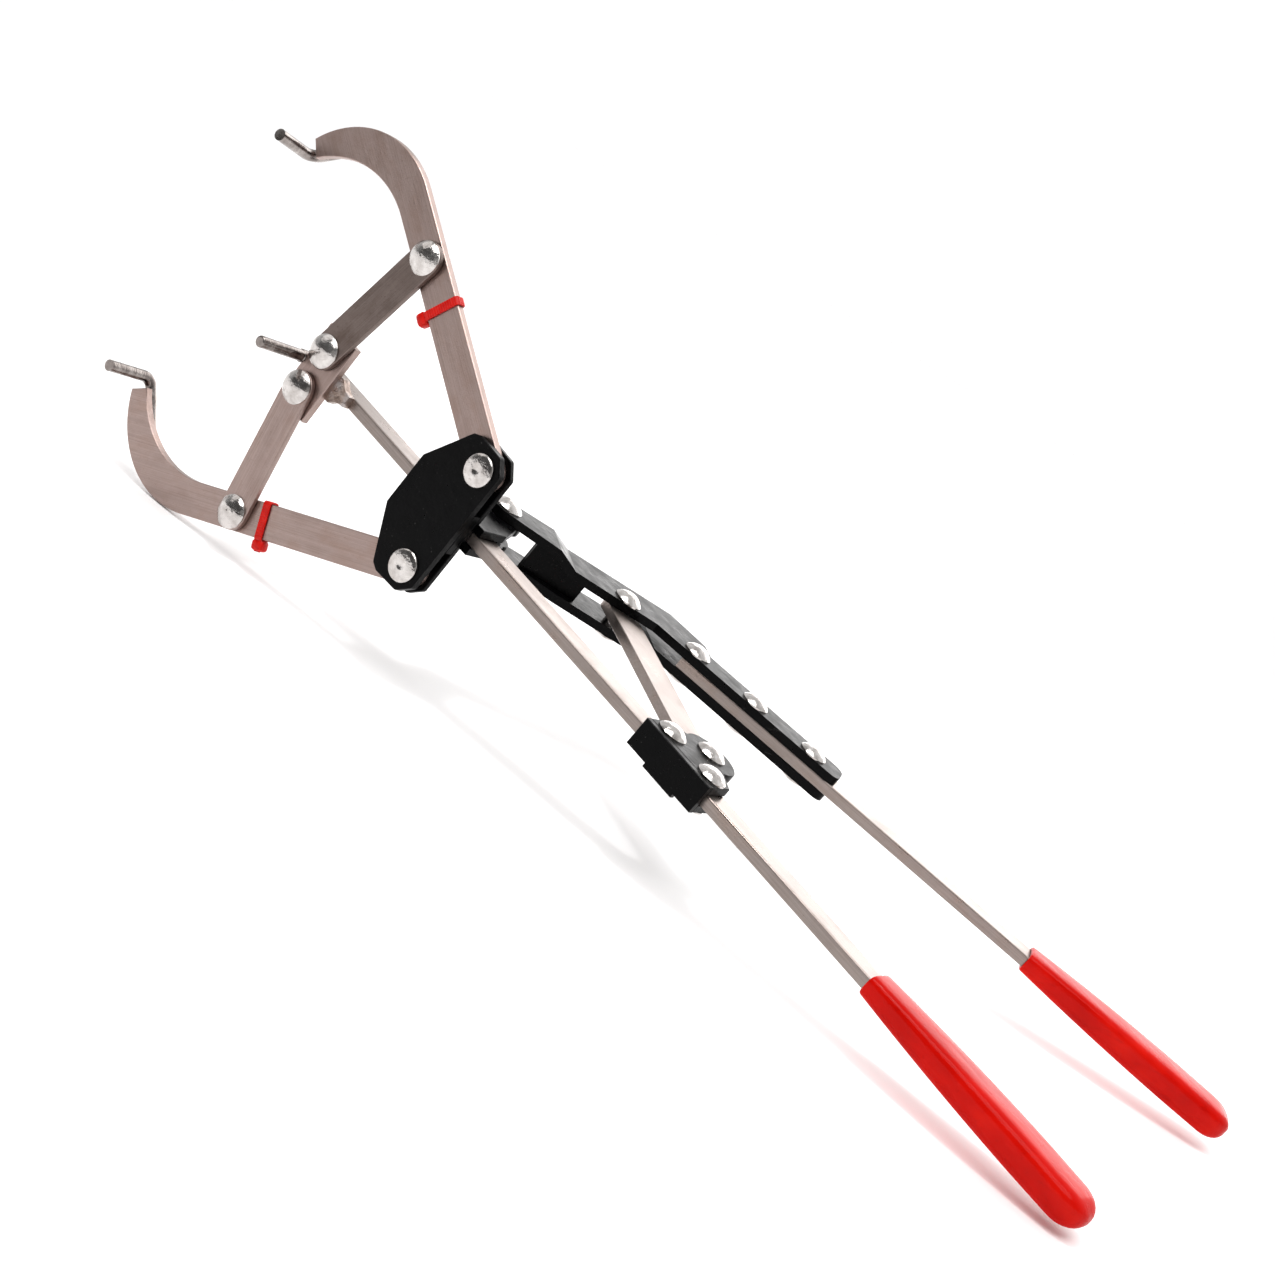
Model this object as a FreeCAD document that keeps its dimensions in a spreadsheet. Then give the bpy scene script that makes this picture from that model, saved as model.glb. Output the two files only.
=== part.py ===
import FreeCAD, Part
import math
import os
import re
import Sketcher
from FreeCAD import Vector

# Livestock band spreader.  Frame: X toward the tip, Y the way the prongs stand, Z across the
# tool; the origin is on the centre prong's axis in the middle of the arm plates.

DIMENSIONS = (
    # the stack of flat parts, measured along Y from the middle of the arms
    ("plate_thick", 4.76, "arms, crossbar, bracket front, cheeks"),
    ("thin_plate", 3.2, "links and the bracket rear plate"),
    ("run_gap", 0.25, "clearance between plates that slide"),
    ("flat_width", 19.05, "width of arms and links"),
    ("edge_break", 0.4, "chamfer on the plate edges"),
    # handle bars
    ("bar_thick", 6.35, "both handle bars, across Z"),
    ("bar_deep", 15.88, "both handle bars, along Y"),
    ("bar_face_y", -6.1, "front face of the main bar"),
    ("bar_nose_x", -10, "tip end of the main bar"),
    ("bar_tail_x", -562, "hidden end of the main bar"),
    ("bar_round", 0.9, "rounding of the bar edges"),
    # crossbar and centre prong
    ("crossbar_half", 24, "half length of the crossbar"),
    ("crossbar_back_x", -26, "rear edge of the crossbar"),
    ("crossbar_front_x", -2.6, "front edge of the crossbar"),
    ("prong_radius", 3.175, "quarter inch rod"),
    ("prong_tip", 1.06, "rounding of the centre prong's end"),
    ("centre_prong_top", 36, "end of the centre prong"),
    ("root_radius", 3.6, "thicker root of the centre prong"),
    ("root_top", 3, "upper end of the root"),
    ("weld_half", 7.5, "half width of the weld at the crossbar"),
    ("weld_tail_x", -38, "rear end of the weld fillet"),
    # linkage pivots at rest
    ("arm_pivot_x", -132.5, "bracket to arm pivots"),
    ("arm_pivot_z", 31, "bracket to arm pivots"),
    ("link_pivot_x", -13, "crossbar to link pivots"),
    ("link_pivot_z", 12, "crossbar to link pivots"),
    ("arm_angle", 27.08, "arm to the tool axis"),
    ("link_angle", 101.6, "link to the tool axis"),
    ("arm_centres", 117.5, "arm pivot to link pivot"),
    ("link_centres", 74, "link hole spacing"),
    # hooked end of an arm, in the arm's own axes
    ("hook_start", 155, "straight outer edge of the arm"),
    ("hook_outer", 57, "outer edge radius"),
    ("hook_in_x", 147, "centre of the inner edge"),
    ("hook_in_y", -66.5, "centre of the inner edge"),
    ("hook_inner", 57, "inner edge radius"),
    ("hook_tip_y", -50, "inner corner of the hook tip"),
    ("open_hole", 6.1, "arm hole around the link rivet"),
    # arm prongs
    ("leg_x", 197.5, "start of the prong leg on the arm"),
    ("leg_y", -27, "start of the prong leg on the arm"),
    ("leg_angle", -71.2, "direction of the leg"),
    ("leg_length", 24, "straight leg behind the arm"),
    ("leg_bend", 6.5, "bend radius of the rod"),
    ("leg_y_offset", 5.3, "rod axis behind the arm's middle"),
    ("prong_top", 28, "end of an arm prong"),
    ("left_lean", -8.5, "lean of the left prong along its leg"),
    ("left_tilt", 3, "sideways tilt of the left prong"),
    # cable ties
    ("left_tie_x", 90, "place of the left tie along its arm"),
    ("right_tie_x", 98, "place of the right tie along its arm"),
    ("tie_width", 4.8, "strap width"),
    ("tie_thick", 1.3, "strap thickness"),
    ("tie_head", 7.5, "side of the locking head"),
    # sliding bracket
    ("plate_nose_x", -100.7, "front edge of the bracket plates"),
    ("plate_nose_z", 15.2, "half width of the front edge"),
    ("plate_ear_x", -116.5, "front corner of the ear"),
    ("plate_ear_z", 42, "front corner of the ear"),
    ("plate_side_x", -121, "side of the ear"),
    ("plate_side_z", 44, "side of the ear"),
    ("plate_rear_x", -137, "rear corner of the side"),
    ("plate_rear_z", 43.2, "rear corner of the side"),
    ("plate_corner", 2.5, "corner radius of the bracket plates"),
    ("plate_back_x", -144, "rear edge"),
    ("plate_back_z", 36, "half width of the rear edge"),
    ("spacer_half", 12, "half width of the bracket spacer"),
    ("spacer_nose_x", -113, "front of the spacer"),
    ("sleeve_nose_x", -113.5, "front of the sleeve"),
    ("sleeve_tail_x", -148.3, "rear of the sleeve"),
    ("sleeve_gap", 0.3, "sleeve to bar clearance"),
    ("sleeve_corner_y", -26, "where the lug starts"),
    ("sleeve_back", 3.7, "thickness of the block behind the bar"),
    # lever pivot and lever
    ("lever_x", -126, "lever pivot"),
    ("lever_y", -46, "lever pivot"),
    ("lug_radius", 12.5, "sleeve lug about the lever pivot"),
    ("lever_angle", 203.44, "direction of the lever bar"),
    ("lever_bar_n", 37.5, "inner face of the lever bar from the pivot"),
    ("lever_bar_start", 116, "hidden start of the lever bar"),
    ("lever_bar_end", 476, "hidden end of the lever bar"),
    ("cheek_end", 220, "rear end of the lever cheeks"),
    ("cheek_outer_n", 58.1, "outer edge of the narrow part"),
    ("cheek_corner", 6, "corner radius at the rear end"),
    ("cheek_step_x", 127, "end of the narrow part"),
    ("cheek_step_n", 68, "outer edge beside the first rivet"),
    ("cheek_hump_x", 95.04, "outer edge behind the toggle pivot"),
    ("cheek_hump_n", 71.1, "outer edge behind the toggle pivot"),
    ("strip_angle", 30, "front strip to the lever bar"),
    ("strip_inner", 15, "strip edge on the bar side"),
    ("strip_outer", 12, "strip edge on the far side"),
    ("strip_root", 10, "half width at the pivot"),
    ("jog_start", 32.5, "start of the sideways jog"),
    ("jog_end", 45.5, "end of the sideways jog"),
    ("jog_height", 5.02, "sideways jog of a lever cheek"),
    ("jog_inset", 0.9, "jog shift between the two faces"),
    ("low_jog_start", 92, "start of the lower cheek's jog"),
    ("low_jog_end", 108, "end of the lower cheek's jog"),
    ("web_start", 22, "front end of the web between the cheeks"),
    ("web_end", 58, "rear end of the web between the cheeks"),
    ("web_face", 8, "web face on the bar side"),
    ("lever_rivet_x", 120.5, "first rivet of the lever bar"),
    ("lever_rivet_pitch", 40.2, "rivet spacing"),
    ("toggle_x", 75.04, "front toggle pivot in the lever's axes"),
    ("toggle_y", 34.29, "front toggle pivot in the lever's axes"),
    # toggle and clamp
    ("toggle_centres", 142.87, "toggle hole spacing"),
    ("toggle_angle", 150.05, "direction of the toggle"),
    ("toggle_width", 20, "toggle bar width"),
    ("toggle_thick", 5.75, "toggle bar thickness"),
    ("toggle_hole", 6.95, "rear toggle hole around its rivet"),
    ("clamp_x", -305, "rear toggle pivot on the clamp"),
    ("clamp_y", -36, "rear toggle pivot on the clamp"),
    ("clamp_nose_x", -283, "tip end of the clamp"),
    ("clamp_tail_x", -330, "handle end of the clamp"),
    ("clamp_side_y", -22, "rear edge of the clamp beside its lug"),
    ("clamp_lug", 15, "lug radius about the toggle pivot"),
    ("clamp_front", 4, "clamp front plate thickness"),
    ("clamp_step", 2, "step on the lower edge of the front plate"),
    ("clamp_step_x", -297, "end of the step toward the tip"),
    ("clamp_step_tail_x", -318, "end of the step toward the handle"),
    ("clamp_rivet_a", -292.6, "clamp rivet toward the tip"),
    ("clamp_rivet_b", -322, "clamp rivet toward the handle"),
    # rivets
    ("shank", 3.95, "rivet shank radius"),
    ("slim_shank", 3.15, "shank radius of the link to arm rivets"),
    ("run_fit", 0.06, "radial clearance on a turning hole"),
    ("big_head", 9.2, "head radius on links and crossbar"),
    ("small_head", 8, "head radius on lever and clamp"),
    ("ear_head", 8.8, "head radius on the bracket ears"),
    ("low_head", 6.9, "head radius beside the main bar"),
    ("dome", 4.4, "height of a domed head"),
    ("flat_dome", 3, "height of a low head"),
    ("tail_dome", 5.2, "height of a bracket rivet tail"),
    ("rim", 0.8, "straight rim under a dome"),
    # grips
    ("main_grip_x", -445, "open end of the main grip"),
    ("lever_grip_x", 354.5, "open end of the lever grip"),
    ("grip_length", 136, "length of a grip"),
    ("grip_wall", 1.9, "grip wall at the open end"),
    ("grip_front_swell", 3.2, "extra depth on the front side"),
    ("grip_rear_swell", 4.2, "extra depth on the rear side"),
    ("grip_half_open", 5.8, "half thickness at the open end"),
    ("grip_half_full", 8.4, "half thickness near the round end"),
    ("grip_round", 4.4, "corner radius of the grip section"),
)


def spreadsheet(doc):
    """Write the driving dimensions: name, value with its alias, meaning."""
    cells = doc.addObject("Spreadsheet::Sheet", "Dims")
    for row, (alias, number, meaning) in enumerate(DIMENSIONS, start=1):
        cells.set("A%d" % row, alias)
        cells.set("B%d" % row, str(number))
        cells.set("C%d" % row, meaning)
        cells.setAlias("B%d" % row, alias)
    doc.recompute()
    return cells


ALONG_X = "1; 0; 0"
ALONG_Y = "0; 1; 0"
ALONG_Z = "0; 0; 1"
STILL = ((ALONG_Z, "0"),)

doc = FreeCAD.newDocument("BandSpreader")
sheet = spreadsheet(doc)
ALIASES = {row[0] for row in DIMENSIONS}
nodes = []


def linked(text):
    """Turn alias words into references to the sheet."""
    return re.sub(r"[a-z_]+", lambda m: "Dims." + m[0] if m[0] in ALIASES else m[0], str(text))


def value(text):
    """Number that an expression on the sheet gives."""
    return float(sheet.evalExpression(str(text)))


def bind(thing, prop, text):
    thing.setExpression(prop, linked(text))


def node(thing, label):
    """Register a finished sub-part under its own label."""
    thing.Label = label
    nodes.append(thing)
    return thing


def place(thing, base, turns):
    """Place at base, turned by (axis, angle) pairs, the first pair applied last."""
    where = "vector(%s; %s; %s)" % base
    spins = ["rotation(vector(%s); %s)" % turn for turn in turns]
    bind(thing, "Placement", "placement(%s; %s)" % (where, " * ".join(spins)))


def origin_plane(body, role):
    return [part for part in body.Origin.OriginFeatures if part.Role == role][0]


def new_sketch(body, name, role, shift="0", spin=(ALONG_Y, "0")):
    """Sketch on one of the body's origin planes, moved by shift and turned in place.

    shift is a distance along the plane's normal, or three lengths in the plane's own axes.
    """
    sketch = body.newObject("Sketcher::SketchObject", name)
    sketch.AttachmentSupport = [(origin_plane(body, role), "")]
    sketch.MapMode = "FlatFace"
    turn = "rotation(vector(%s); %s)" % spin
    move = shift if ";" in shift else "0; 0; " + shift
    bind(sketch, "AttachmentOffset", "placement(vector(%s); %s)" % (move, turn))
    return sketch


def pin_point(sketch, geo, pos, x_text, y_text):
    """Hold one point of a curve at coordinates given by expressions."""
    for kind, text in (("DistanceX", x_text), ("DistanceY", y_text)):
        rule = Sketcher.Constraint(kind, -1, 1, geo, pos, value(text))
        index = sketch.addConstraint(rule)
        name = "%s%d_%d" % (kind[-1], geo, pos)
        sketch.renameConstraint(index, name)
        bind(sketch, "Constraints." + name, text)


def corner(item):
    return Vector(value(item[0]), value(item[1]), 0)


def arc_geometry(start, end, centre, turn):
    """Arc from start to end about centre: turn is 1 to the left, -1 to the right."""
    first = math.atan2(start.y - centre.y, start.x - centre.x)
    last = math.atan2(end.y - centre.y, end.x - centre.x)
    if turn < 0:
        first, last = last, first
    if last <= first:
        last += 2 * math.pi
    circle = Part.Circle(centre, Vector(0, 0, 1), (start - centre).Length)
    return Part.ArcOfCircle(circle, first, last)


def pin_arc(sketch, geo, start, end, item):
    """Fix an arc between two held points by the better-placed centre coordinate."""
    chord = end - start
    use_x = abs(chord.y) >= abs(chord.x)
    kind, text = ("DistanceX", item[2]) if use_x else ("DistanceY", item[3])
    index = sketch.addConstraint(Sketcher.Constraint(kind, -1, 1, geo, 3, value(text)))
    name = "Centre%d" % geo
    sketch.renameConstraint(index, name)
    bind(sketch, "Constraints." + name, text)


def add_path(sketch, path, closed=True):
    """Draw corners (x, y) joined by lines, or (x, y, cx, cy, turn) reached by an arc."""
    count = len(path)
    first = 0 if closed else 1
    base = sketch.GeometryCount
    for index in range(first, count):
        item = path[index]
        start = corner(path[index - 1])
        end = corner(item)
        geo = base + index - first
        if len(item) == 2:
            sketch.addGeometry(Part.LineSegment(start, end), False)
            begin, finish = 1, 2
        else:
            centre = Vector(value(item[2]), value(item[3]), 0)
            sketch.addGeometry(arc_geometry(start, end, centre, item[4]), False)
            begin, finish = (1, 2) if item[4] > 0 else (2, 1)
        if index == first and not closed:
            pin_point(sketch, geo, begin, path[0][0], path[0][1])
        pin_point(sketch, geo, finish, item[0], item[1])
        if index > first:
            sketch.addConstraint(Sketcher.Constraint("Coincident", previous, last, geo, begin))
        else:
            first_end = (geo, begin)
        previous, last = geo, finish
        if len(item) > 2:
            pin_arc(sketch, geo, start, end, item)
    if closed:
        sketch.addConstraint(Sketcher.Constraint("Coincident", previous, last, *first_end))


def add_hole(sketch, x_text, y_text, radius):
    """Circle held by its centre and radius."""
    centre = Vector(value(x_text), value(y_text), 0)
    geo = sketch.addGeometry(Part.Circle(centre, Vector(0, 0, 1), value(radius)), False)
    pin_point(sketch, geo, 3, x_text, y_text)
    index = sketch.addConstraint(Sketcher.Constraint("Radius", geo, value(radius)))
    sketch.renameConstraint(index, "Radius%d" % geo)
    bind(sketch, "Constraints.Radius%d" % geo, radius)


def new_body(name):
    return doc.addObject("PartDesign::Body", name)


def pad(body, sketch, length, symmetric=False):
    """Extrude a sketch by length, about its plane when symmetric."""
    feature = body.newObject("PartDesign::Pad", "Pad")
    feature.Profile = sketch
    if symmetric:
        feature.SideType = "Symmetric"
    bind(feature, "Length", length)
    return feature


def pocket(body, sketch, length, symmetric=False, backward=False):
    """Cut a sketch by length and make sure that material was taken away."""
    doc.recompute()
    before = body.Shape.Volume
    feature = body.newObject("PartDesign::Pocket", "Pocket")
    feature.Profile = sketch
    feature.Reversed = backward
    if symmetric:
        feature.SideType = "Symmetric"
    bind(feature, "Length", length)
    doc.recompute()
    if body.Shape.Volume > before - 1e-3:
        raise RuntimeError("pocket cut nothing in " + body.Name)
    return feature


def flat_edges(shape):
    """Outer edges of the two large faces of a plate, its round holes left out."""
    tops = (shape.BoundBox.ZMin, shape.BoundBox.ZMax)
    names = []
    for number, edge in enumerate(shape.Edges, start=1):
        box = edge.BoundBox
        level = box.ZLength < 1e-6 and min(abs(box.ZMin - top) for top in tops) < 1e-6
        ring = len(edge.Vertexes) < 2
        if level and not ring:
            names.append("Edge%d" % number)
    return names


def upright_edges(shape):
    """Corner edges of a plate between two plane sides."""
    names = []
    for number, edge in enumerate(shape.Edges, start=1):
        sides = shape.ancestorsOfType(edge, Part.Face)
        plane_sides = all(isinstance(side.Surface, Part.Plane) for side in sides)
        box = edge.BoundBox
        if plane_sides and len(sides) == 2 and box.XLength < 1e-6 and box.YLength < 1e-6:
            names.append("Edge%d" % number)
    return names


def long_edges(shape):
    """The four lengthwise edges of a bar along X."""
    names = []
    for number, edge in enumerate(shape.Edges, start=1):
        box = edge.BoundBox
        if box.YLength < 1e-6 and box.ZLength < 1e-6:
            names.append("Edge%d" % number)
    return names


def dress(body, kind, base, prop, size, finder):
    """Fillet or chamfer the edges that finder picks from the body's last shape."""
    doc.recompute()
    names = finder(base.Shape)
    feature = body.newObject("PartDesign::" + kind, kind)
    feature.Base = (base, names)
    bind(feature, prop, size)
    return feature


def chamfered(body, base):
    return dress(body, "Chamfer", base, "Size", "edge_break", flat_edges)


def plate(label, path, holes, thick, symmetric=True, shift="0", corners=None):
    """Flat plate in the body's XY plane with round holes and broken edges."""
    body = new_body(label)
    sketch = new_sketch(body, "Outline", "XY_Plane", shift)
    add_path(sketch, path)
    for hole in holes:
        add_hole(sketch, *hole)
    last = pad(body, sketch, thick, symmetric)
    if corners:
        last = dress(body, "Fillet", last, "Radius", corners, upright_edges)
    chamfered(body, last)
    return node(body, label)


def box_path(x_low, x_high, y_low, y_high):
    return [(x_low, y_low), (x_high, y_low), (x_high, y_high), (x_low, y_high)]


def stadium(centres, half):
    """Strip with round ends, hole centres at 0 and at centres on the X axis."""
    return [
        ("0", "-" + half, "0", "0", 1),
        (centres, "-" + half),
        (centres, half, centres, "0", 1),
        ("0", half),
    ]


def bar_body(label, path_x, path_y, hole_places):
    """Rectangular bar along X with rivet holes on its middle line, long edges slightly rounded."""
    body = new_body(label)
    sketch = new_sketch(body, "Side", "XY_Plane")
    add_path(sketch, box_path(path_x[0], path_x[1], path_y[0], path_y[1]))
    for x_text in hole_places:
        add_hole(sketch, x_text, "(%s + %s) / 2" % path_y, "shank")
    last = pad(body, sketch, "bar_thick", True)
    dress(body, "Fillet", last, "Radius", "bar_round", long_edges)
    return node(body, label)


# ------------------------------------------------------------------ rivets

def rivet_body(name, radius, low, high, low_head, high_head, low_dome, high_dome):
    """Rivet along its own Z: shank between the heights low and high, domed heads outside."""
    body = new_body(name)
    sketch = new_sketch(body, "Profile", "XZ_Plane")

    def dome_centre(head, dome, face, sign):
        swell = "((%s - rim)^2 + (%s)^2) / (2 * (%s - rim))" % (dome, head, dome)
        return "(%s) %s (%s - %s)" % (face, sign, dome, swell)

    add_path(sketch, [
        ("0", "%s - %s" % (low, low_dome)),
        (low_head, "%s - rim" % low, "0", dome_centre(low_head, low_dome, low, "-"), 1),
        (low_head, low),
        (radius, low),
        (radius, high),
        (high_head, high),
        (high_head, "%s + rim" % high),
        ("0", "%s + %s" % (high, high_dome), "0", dome_centre(high_head, high_dome, high, "+"), 1),
    ])
    turned = body.newObject("PartDesign::Revolution", "Turned")
    turned.Profile = sketch
    turned.ReferenceAxis = (sketch, ["V_Axis"])
    turned.Angle = 360
    return body


def rivet_group(label, bodies):
    """Identical rivets as one sub-part of separate solids."""
    group = doc.addObject("Part::Compound", label)
    group.Links = bodies
    return node(group, label)


UPRIGHT = ((ALONG_X, "-90"),)


# ------------------------------------------------------------------ fixed frame

def main_bar():
    bar_body("main_bar", ("bar_tail_x", "bar_nose_x"), ("bar_face_y - bar_deep", "bar_face_y"),
             ("clamp_rivet_a", "clamp_rivet_b"))


def crossbar():
    """Plate across the tip, notched for the centre prong."""
    notch = "sqrt(root_radius^2 - crossbar_front_x^2)"
    path = [
        ("crossbar_back_x", "-crossbar_half"),
        ("crossbar_front_x", "-crossbar_half"),
        ("crossbar_front_x", "-" + notch),
        ("crossbar_front_x", notch, "0", "0", -1),
        ("crossbar_front_x", "crossbar_half"),
        ("crossbar_back_x", "crossbar_half"),
    ]
    holes = [("link_pivot_x", z, "shank") for z in ("link_pivot_z", "-link_pivot_z")]
    bar = plate("crossbar", path, holes, "plate_thick")
    place(bar, ("0", "0", "0"), ((ALONG_X, "90"),))


def centre_prong():
    """Straight rod standing on the crossbar's front edge, thicker where it is welded in."""
    body = new_body("centre_prong")
    sketch = new_sketch(body, "Profile", "XZ_Plane")
    top = "centre_prong_top + plate_thick / 2"
    root = "root_top + plate_thick / 2"
    add_path(sketch, [
        ("0", "0"),
        ("root_radius", "0"),
        ("root_radius", "%s - (root_radius - prong_radius)" % root),
        ("prong_radius", root),
        ("prong_radius", "%s - prong_tip" % top),
        ("prong_radius - prong_tip", top, "prong_radius - prong_tip", "%s - prong_tip" % top, 1),
        ("0", top),
    ])
    turned = body.newObject("PartDesign::Revolution", "Turned")
    turned.Profile = sketch
    turned.ReferenceAxis = (sketch, ["V_Axis"])
    turned.Angle = 360
    node(body, "centre_prong")
    place(body, ("0", "-plate_thick / 2", "0"), UPRIGHT)


def nose_weld():
    """Block between the crossbar and the bar, and the flared weld fillet behind it."""
    body = new_body("nose_weld")
    half = "bar_thick / 2"
    swell = "(crossbar_back_x - weld_tail_x)"
    fillet = new_sketch(body, "Fillet", "XZ_Plane", "plate_thick / 4")
    corner_z = "%s + %s" % (half, swell)
    cut_x = "weld_tail_x + sqrt(%s^2 - (%s - weld_half)^2)" % (swell, corner_z)
    add_path(fillet, [
        ("weld_tail_x", "-" + half),
        (cut_x, "-weld_half", "weld_tail_x", "-(%s)" % corner_z, -1),
        ("crossbar_back_x", "-weld_half"),
        ("crossbar_back_x", "weld_half"),
        (cut_x, "weld_half"),
        ("weld_tail_x", half, "weld_tail_x", corner_z, -1),
    ])
    pad(body, fillet, "-bar_face_y - plate_thick / 4")
    web = new_sketch(body, "Web", "XZ_Plane", "plate_thick / 2")
    add_path(web, box_path("crossbar_back_x", "bar_nose_x", "-" + half, half))
    pad(body, web, "-bar_face_y - plate_thick / 2")
    node(body, "nose_weld")


def crossbar_rivets():
    pair = []
    outer = "plate_thick / 2 + run_gap + thin_plate"
    for z in ("link_pivot_z", "-link_pivot_z"):
        body = rivet_body("CrossbarRivet", "shank", "-plate_thick / 2", outer,
                          "low_head", "big_head", "flat_dome", "dome")
        place(body, ("link_pivot_x", "0", z), UPRIGHT)
        pair.append(body)
    rivet_group("crossbar_rivets", pair)


def mirrored(source, label):
    """Same piece on the other side of the tool's middle plane."""
    twin = doc.addObject("Part::Mirroring", label)
    twin.Source = source
    twin.Normal = Vector(0, 0, 1)
    return node(twin, label)


CLAMP_TILT = "20"


def clamp_cheeks():
    """Side plates of the clamp with a lug for the toggle."""
    side = "clamp_lug * cos(%s)" % CLAMP_TILT
    rise = "clamp_y + clamp_lug * sin(%s)" % CLAMP_TILT
    path = [
        ("clamp_tail_x", "bar_face_y"),
        ("clamp_tail_x", "clamp_side_y"),
        ("clamp_x - " + side, rise),
        ("clamp_x + " + side, rise, "clamp_x", "clamp_y", 1),
        ("clamp_nose_x", "clamp_side_y"),
        ("clamp_nose_x", "bar_face_y"),
    ]
    middle = "bar_face_y - bar_deep / 2"
    holes = [
        ("clamp_x", "clamp_y", "shank"),
        ("clamp_rivet_a", middle, "shank"),
        ("clamp_rivet_b", middle, "shank"),
    ]
    upper = plate("clamp_cheek_upper", path, holes, "plate_thick", False, "bar_thick / 2")
    mirrored(upper, "clamp_cheek_lower")


def clamp_front_plate():
    """Plate over the bar's front face, with a step on its lower edge."""
    half = "bar_thick / 2 + plate_thick"
    path = [
        ("clamp_tail_x", "-(%s)" % half),
        ("clamp_step_tail_x", "-(%s)" % half),
        ("clamp_step_tail_x", "-(%s + clamp_step)" % half),
        ("clamp_step_x", "-(%s + clamp_step)" % half),
        ("clamp_step_x", "-(%s)" % half),
        ("clamp_nose_x", "-(%s)" % half),
        ("clamp_nose_x", half),
        ("clamp_tail_x", half),
    ]
    front = plate("clamp_front_plate", path, [], "clamp_front", False)
    place(front, ("0", "bar_face_y + clamp_front", "0"), ((ALONG_X, "90"),))


def clamp_rivets():
    pair = []
    outer = "bar_thick / 2 + plate_thick"
    for x in ("clamp_rivet_a", "clamp_rivet_b"):
        body = rivet_body("ClampRivet", "shank", "-(%s)" % outer, outer,
                          "small_head", "small_head", "flat_dome", "dome")
        place(body, (x, "bar_face_y - bar_deep / 2", "0"), STILL)
        pair.append(body)
    rivet_group("clamp_rivets", pair)


def side_rivet(label, base, drop):
    """Pivot rivet across two cheeks, the lower one set out by drop."""
    outer = "bar_thick / 2 + plate_thick"
    body = rivet_body(label, "shank", "-(%s + %s)" % (outer, drop), outer,
                      "small_head", "small_head", "flat_dome", "dome")
    place(body, base, STILL)
    return node(body, label)


# ------------------------------------------------------------------ sliding bracket

def bracket_path():
    """Six-sided plate: narrow nose, two ears, straight rear edge."""
    half = [
        ("plate_nose_x", "plate_nose_z"),
        ("plate_ear_x", "plate_ear_z"),
        ("plate_side_x", "plate_side_z"),
        ("plate_rear_x", "plate_rear_z"),
        ("plate_back_x", "plate_back_z"),
    ]
    other = [(x, "-(%s)" % z) for x, z in reversed(half)]
    return half + other


def bracket_plates():
    holes = [("arm_pivot_x", z, "shank") for z in ("arm_pivot_z", "-arm_pivot_z")]
    front = plate("bracket_front_plate", bracket_path(), holes, "plate_thick", False, "0", "plate_corner")
    face = "plate_thick / 2 + run_gap"
    place(front, ("0", face + " + plate_thick", "0"), ((ALONG_X, "90"),))
    rear = plate("bracket_rear_plate", bracket_path(), holes, "thin_plate", False, "0", "plate_corner")
    place(rear, ("0", "-(%s)" % face, "0"), ((ALONG_X, "90"),))


def bracket_spacer():
    """Block that holds the two plates apart between the arms."""
    path = box_path("plate_back_x", "spacer_nose_x", "-spacer_half", "spacer_half")
    block = plate("bracket_spacer", path, [], "plate_thick + 2 * run_gap", True)
    place(block, ("0", "0", "0"), ((ALONG_X, "90"),))


REAR_FACE = "-(plate_thick / 2 + run_gap + thin_plate)"
SLEEVE_BACK = "bar_face_y - bar_deep - sleeve_gap"


def sleeve():
    """Two cheeks beside the bar with lugs for the lever, and the block behind the bar."""
    path = [
        ("sleeve_nose_x", REAR_FACE),
        ("sleeve_tail_x", REAR_FACE),
        ("sleeve_tail_x", "sleeve_corner_y"),
        ("lever_x - lug_radius", "lever_y"),
        ("lever_x + lug_radius", "lever_y", "lever_x", "lever_y", 1),
    ]
    start = "bar_thick / 2 + sleeve_gap"
    holes = [("lever_x", "lever_y", "shank")]
    upper = plate("sleeve_cheek_upper", path, holes, "plate_thick - sleeve_gap", False, start)
    mirrored(upper, "sleeve_cheek_lower")
    block = box_path("sleeve_tail_x", "sleeve_nose_x",
                     "%s - sleeve_back" % SLEEVE_BACK, SLEEVE_BACK)
    plate("sleeve_back_plate", block, [], "2 * (%s)" % start, True)


def arm_pivot_rivets():
    pair = []
    face = "plate_thick / 2 + run_gap"
    for z in ("arm_pivot_z", "-arm_pivot_z"):
        body = rivet_body("ArmRivet", "shank", "-(%s + thin_plate)" % face,
                          face + " + plate_thick", "low_head", "ear_head",
                          "tail_dome", "flat_dome")
        place(body, ("arm_pivot_x", "0", z), UPRIGHT)
        pair.append(body)
    rivet_group("arm_pivot_rivets", pair)


def lever_pivot_rivet():
    """Long rivet through the sleeve lugs and the outer lever cheeks."""
    outer = "bar_thick / 2 + jog_height + plate_thick"
    body = rivet_body("lever_pivot_rivet", "shank", "-(%s)" % outer, outer,
                      "small_head", "small_head", "flat_dome", "dome")
    place(body, ("lever_x", "lever_y", "0"), STILL)
    node(body, "lever_pivot_rivet")


# ------------------------------------------------------------------ arms and links

def side_turns(side, angle):
    """Turns that lay a plate's XY plane in the tool's XZ plane, mirrored for side -1."""
    return ((ALONG_Y, "-(%s)" % angle if side > 0 else angle), (ALONG_X, "90" if side > 0 else "-90"))


def arm_base(side):
    return ("arm_pivot_x", "0", "arm_pivot_z" if side > 0 else "-arm_pivot_z")


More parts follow.
